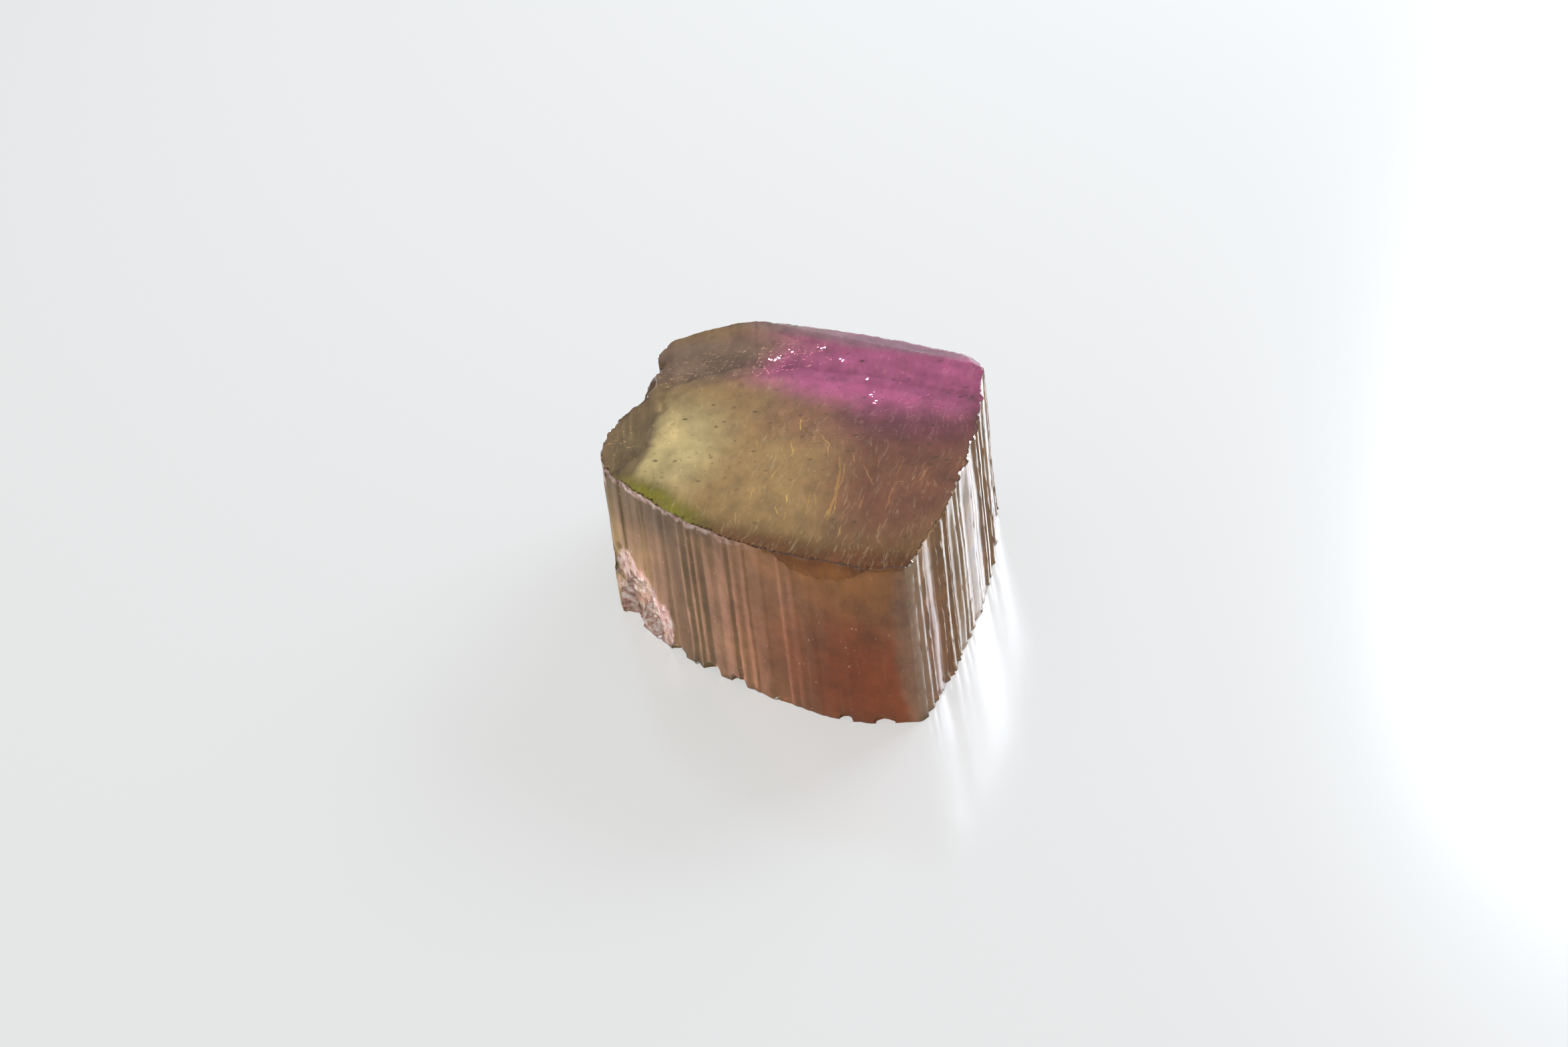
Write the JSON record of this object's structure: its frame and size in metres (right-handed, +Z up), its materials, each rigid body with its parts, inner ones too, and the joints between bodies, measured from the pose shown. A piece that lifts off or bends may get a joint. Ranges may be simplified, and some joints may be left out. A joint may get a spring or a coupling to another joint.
{
  "type": "watermelon tourmaline crystal",
  "caption": "Short natural section of a striated watermelon tourmaline prism, pink to olive-green, broken flat across both ends, standing on one of them.",
  "frame": {"origin": "middle of the crystal's box at its lower broken end, on the surface that it stands on", "axes": "+Z up along the crystal's long (c) axis and its striations; -Y towards the sharp front edge of the prism; +X right"},
  "size_m": [0.013, 0.018, 0.0054],
  "materials": {
    "tourmaline": "clear natural tourmaline, vitreous: rose-pink zone, khaki to olive-green body, brown striated sides"
  },
  "bodies": {
    "root": {"crystal": "tourmaline"}
  },
  "joints": []
}
